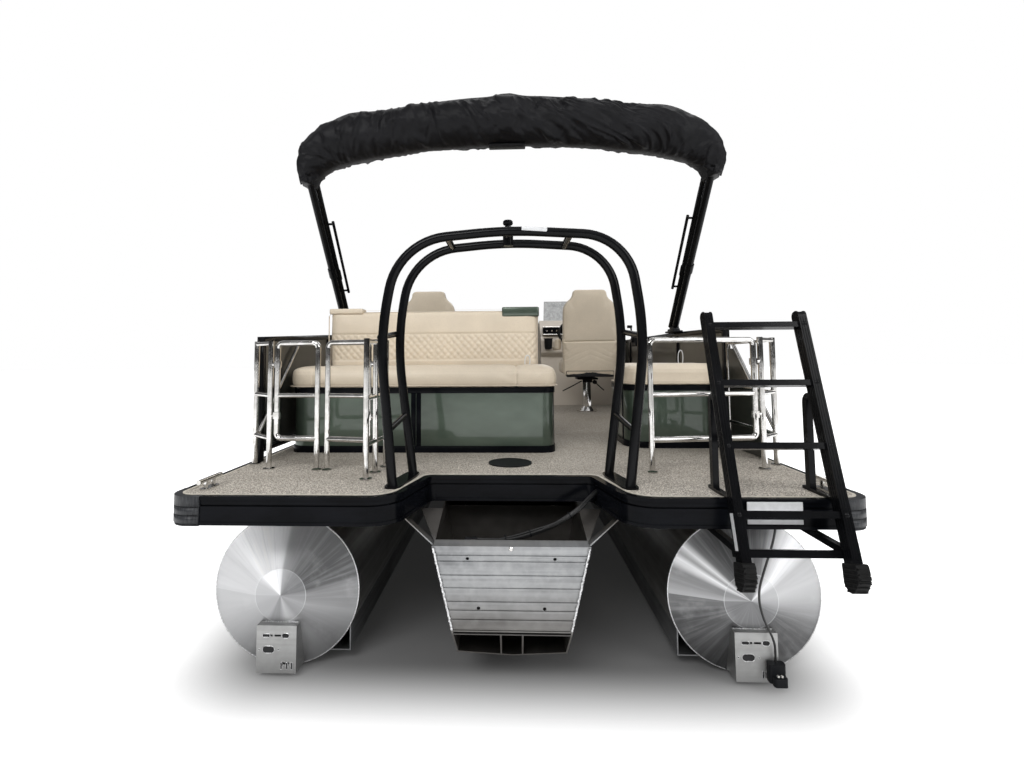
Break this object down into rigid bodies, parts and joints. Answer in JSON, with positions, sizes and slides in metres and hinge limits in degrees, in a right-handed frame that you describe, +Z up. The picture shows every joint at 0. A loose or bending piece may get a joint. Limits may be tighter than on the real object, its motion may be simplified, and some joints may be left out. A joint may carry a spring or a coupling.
{
  "type": "pontoon boat",
  "caption": "Pontoon boat with aluminium tubes, stern motor pod, tow arch, boarding ladder, gated rails, lounges, helm and a folded sun shade.",
  "frame": {"origin": "on the ground under the middle of the boat's box", "axes": "+X starboard, +Y forward to the bow, +Z up"},
  "size_m": [2.597, 6.9152, 2.8206],
  "materials": {
    "aluminium": "mill finish, brushed end caps",
    "deck_covering": "woven vinyl",
    "black_trim": "satin extrusion",
    "black_plastic": "moulded",
    "cable_black": "satin",
    "stainless": "polished stainless",
    "black_powder": "satin powder coat",
    "black_rubber": "matte",
    "fence_frame": "satin black",
    "green_panel": "metallic sage green",
    "green_base": "metallic sage green with black trims",
    "cream_vinyl": "soft marine vinyl",
    "boot_fabric": "acrylic canvas",
    "console_shell": "gel coat",
    "tinted_acrylic": "smoked",
    "wheel_grip": "soft grip"
  },
  "bodies": {
    "boat": {"tube_port": "aluminium", "tube_starboard": "aluminium", "strakes": "aluminium", "risers": "aluminium", "cross_members": "aluminium", "deck": "deck_covering", "edge_bumper": "black_trim", "corner_caps": "black_trim", "deck_plate": "black_plastic", "cleats": "stainless", "motor_pod": "aluminium", "transom_plate": "aluminium", "sonar_brackets": "aluminium", "sonar_transducer": "black_plastic", "sonar_cable": "cable_black", "rigging_cable": "cable_black", "tow_arch": "black_powder", "tow_knob": "black_powder", "stern_rail_port": "stainless", "stern_rail_starboard": "stainless", "fence_port": "fence_frame", "fence_panels_port": "green_panel", "fence_starboard": "fence_frame", "fence_panels_starboard": "green_panel", "lounge_base": "green_base", "lounge_back": "cream_vinyl", "stern_seat_base": "green_base", "bow_base_port": "green_base", "bow_backs_port": "cream_vinyl", "bow_base_starboard": "green_base", "bow_backs_starboard": "cream_vinyl", "helm_pedestal": "stainless", "port_pedestal": "stainless", "throttle_control": "black_plastic", "console": "console_shell", "windscreen": "tinted_acrylic", "ladder_frame": "black_powder", "bimini_mounts": "black_powder"},
    "gate_port_outer": {"gate_port_outer": "stainless"},
    "gate_port_inner": {"gate_port_inner": "stainless"},
    "gate_starboard": {"gate_starboard": "stainless"},
    "bow_gate": {"bow_gate": "fence_frame", "bow_gate_panel": "green_panel"},
    "side_gate": {"side_gate": "fence_frame", "side_gate_panel": "green_panel"},
    "ladder": {"ladder_slide": "black_powder", "ladder_shoes": "black_rubber"},
    "sun_shade": {"bimini_frame": "black_powder", "bimini_boot": "boot_fabric"},
    "lounge_lid": {"lounge_cushion": "cream_vinyl"},
    "stern_seat_lid": {"stern_seat_cushion": "cream_vinyl"},
    "bow_lid_port": {"bow_cushion_port": "cream_vinyl"},
    "bow_lid_starboard": {"bow_cushion_starboard": "cream_vinyl"},
    "helm_chair": {"helm_chair_slide": "black_powder", "helm_chair_seat": "cream_vinyl"},
    "port_chair": {"port_chair_slide": "black_powder", "port_chair_seat": "cream_vinyl"},
    "steering_wheel": {"steering_wheel": "wheel_grip"}
  },
  "joints": [
    {"name": "gate_port_outer_hinge", "type": "hinge", "parent": "boat", "child": "gate_port_outer", "pos_m": [-1.09071, -2.82416, 1.103], "axis": [0, 0, 1], "range_deg": [0, 95]},
    {"name": "gate_port_inner_hinge", "type": "hinge", "parent": "boat", "child": "gate_port_inner", "pos_m": [-0.63979, -2.88492, 1.103], "axis": [0, 0, -1], "range_deg": [0, 85]},
    {"name": "gate_starboard_hinge", "type": "hinge", "parent": "boat", "child": "gate_starboard", "pos_m": [1.11597, -2.80739, 1.103], "axis": [0, 0, -1], "range_deg": [0, 90]},
    {"name": "bow_gate_hinge", "type": "hinge", "parent": "boat", "child": "bow_gate", "pos_m": [-0.364, 2.75563, 1.103], "axis": [0, 0, -1], "range_deg": [0, 100]},
    {"name": "side_gate_hinge", "type": "hinge", "parent": "boat", "child": "side_gate", "pos_m": [-1.234, 0.85163, 1.103], "axis": [0, 0, 1], "range_deg": [0, 90]},
    {"name": "ladder_slide", "type": "slide", "parent": "boat", "child": "ladder", "axis": [0, -0.289, -0.9573], "range_m": [0, 0.7]},
    {"name": "sun_shade_pivot", "type": "hinge", "parent": "boat", "child": "sun_shade", "pos_m": [0, -1.30237, 1.54], "axis": [-1, 0, 0], "range_deg": [0, 70]},
    {"name": "lounge_lid_hinge", "type": "hinge", "parent": "boat", "child": "lounge_lid", "pos_m": [0, -2.07237, 1.2703], "axis": [-1, 0, 0], "range_deg": [0, 70]},
    {"name": "stern_seat_lid_hinge", "type": "hinge", "parent": "boat", "child": "stern_seat_lid", "pos_m": [0.933, -1.76737, 1.2703], "axis": [-1, 0, 0], "range_deg": [0, 70]},
    {"name": "bow_lid_port_hinge", "type": "hinge", "parent": "boat", "child": "bow_lid_port", "pos_m": [-1.066, 1.62263, 1.2703], "axis": [0, -1, 0], "range_deg": [0, 70]},
    {"name": "bow_lid_starboard_hinge", "type": "hinge", "parent": "boat", "child": "bow_lid_starboard", "pos_m": [1.066, 1.87763, 1.2703], "axis": [0, 1, 0], "range_deg": [0, 70]},
    {"name": "helm_chair_swivel", "type": "hinge", "parent": "boat", "child": "helm_chair", "pos_m": [0.735, -0.23237, 1.133], "axis": [0, 0, 1], "continuous": true},
    {"name": "port_chair_swivel", "type": "hinge", "parent": "boat", "child": "port_chair", "pos_m": [-0.735, -0.23237, 1.133], "axis": [0, 0, 1], "continuous": true},
    {"name": "steering", "type": "hinge", "parent": "boat", "child": "steering_wheel", "pos_m": [0.7, 0.31763, 1.563], "axis": [0, -0.848, 0.5299], "range_deg": [-540, 540]}
  ]
}
